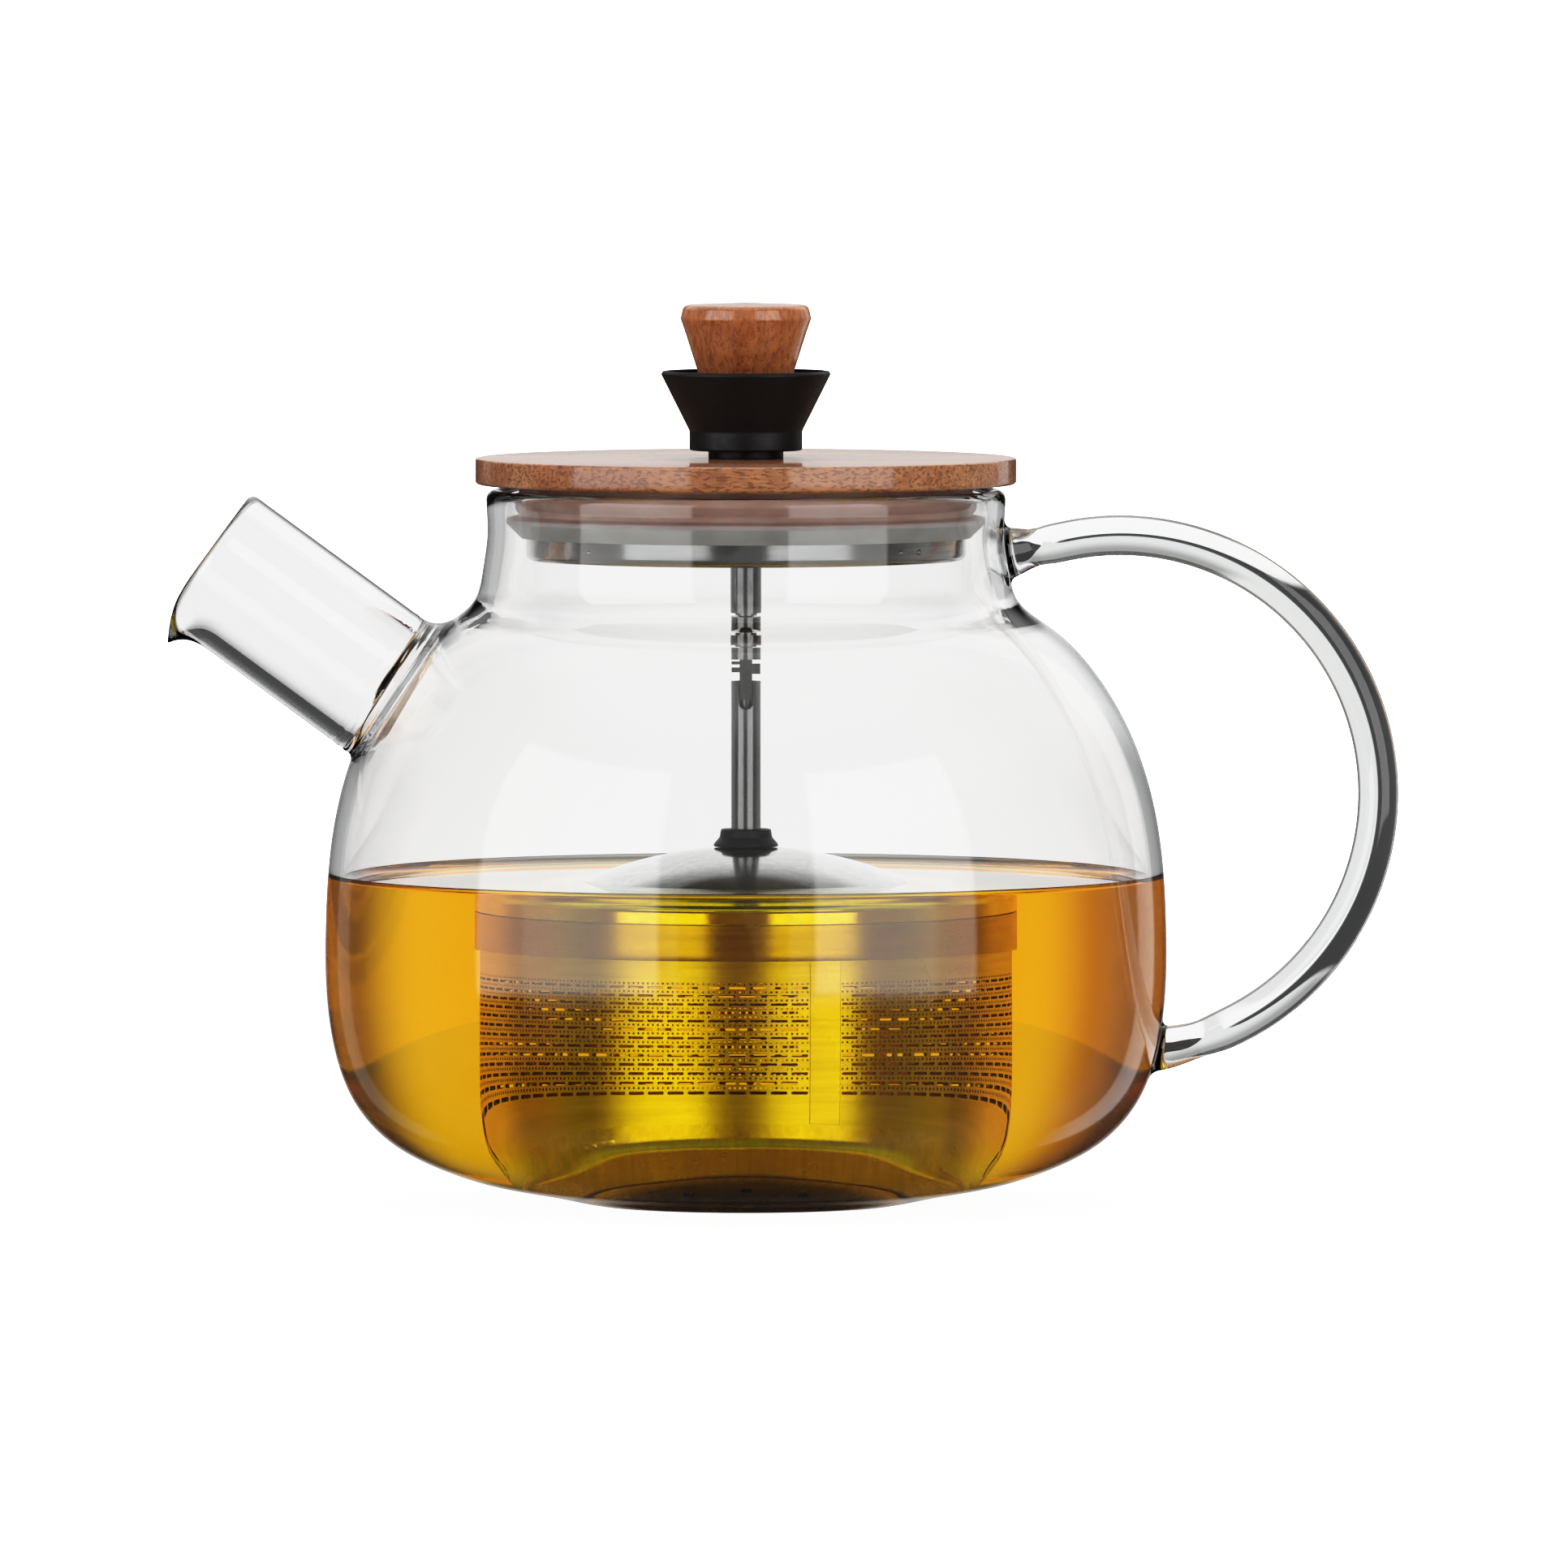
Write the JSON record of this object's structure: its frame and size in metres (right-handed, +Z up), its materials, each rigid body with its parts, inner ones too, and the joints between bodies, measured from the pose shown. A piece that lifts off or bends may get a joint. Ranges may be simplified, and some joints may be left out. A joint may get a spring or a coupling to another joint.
{
  "type": "glass teapot",
  "caption": "Round glass teapot with a straight spout, a bent rod handle, a wooden lid and a steel infuser basket that a knob lifts out of the tea.",
  "frame": {"origin": "on the pot's axis, in the plane of the foot ring that the pot stands on", "axes": "+Z up along the pot's axis, +X towards the handle, -X towards the spout"},
  "size_m": [0.1977, 0.1348, 0.1445],
  "materials": {
    "clear_glass": "clear polished borosilicate",
    "tea": "clear amber liquid",
    "bamboo": "oiled reddish wood with a fine dark fleck",
    "steel": "bright stainless steel",
    "silicone": "translucent silicone",
    "black_plastic": "fine matte",
    "white_plastic": "smooth",
    "brass": "turned"
  },
  "bodies": {
    "pot": {"pot_base": "clear_glass", "pot_belly": "clear_glass", "pot_shoulder": "clear_glass", "pot_neck": "clear_glass", "spout": "clear_glass", "handle": "clear_glass"},
    "lid": {"lid_disc": "bamboo", "lid_pan": "steel", "seal_ring": "silicone", "grip_collar": "black_plastic", "collar_sleeve": "steel", "collar_washer": "steel", "collar_nut": "steel", "guide_bush": "white_plastic"},
    "lift_rod": {"knob": "bamboo", "knob_insert": "brass", "pull_rod": "steel", "coupling_hook": "steel", "coupling_band": "steel"},
    "infuser": {"infuser_rod": "steel", "rod_collar": "black_plastic", "dome_lid": "steel", "dome_skirt": "steel", "dome_washer": "steel", "dome_nut": "steel"},
    "basket": {"basket_wall": "steel", "basket_base": "steel", "basket_rim": "steel"}
  },
  "joints": [
    {"name": "lid_lift", "type": "slide", "parent": "pot", "child": "lid", "axis": [0, 0, 1], "range_m": [0, 0.12]},
    {"name": "rod_pull", "type": "slide", "parent": "lid", "child": "lift_rod", "axis": [0, 0, 1], "range_m": [0, 0.0425]},
    {"name": "infuser_release", "type": "hinge", "parent": "lift_rod", "child": "infuser", "pos_m": [0, 0, 0.084], "axis": [0, 0, 1], "range_deg": [0, 90]},
    {"name": "basket_twist", "type": "hinge", "parent": "infuser", "child": "basket", "pos_m": [0, 0, 0.044], "axis": [0, 0, 1], "range_deg": [0, 30]}
  ]
}
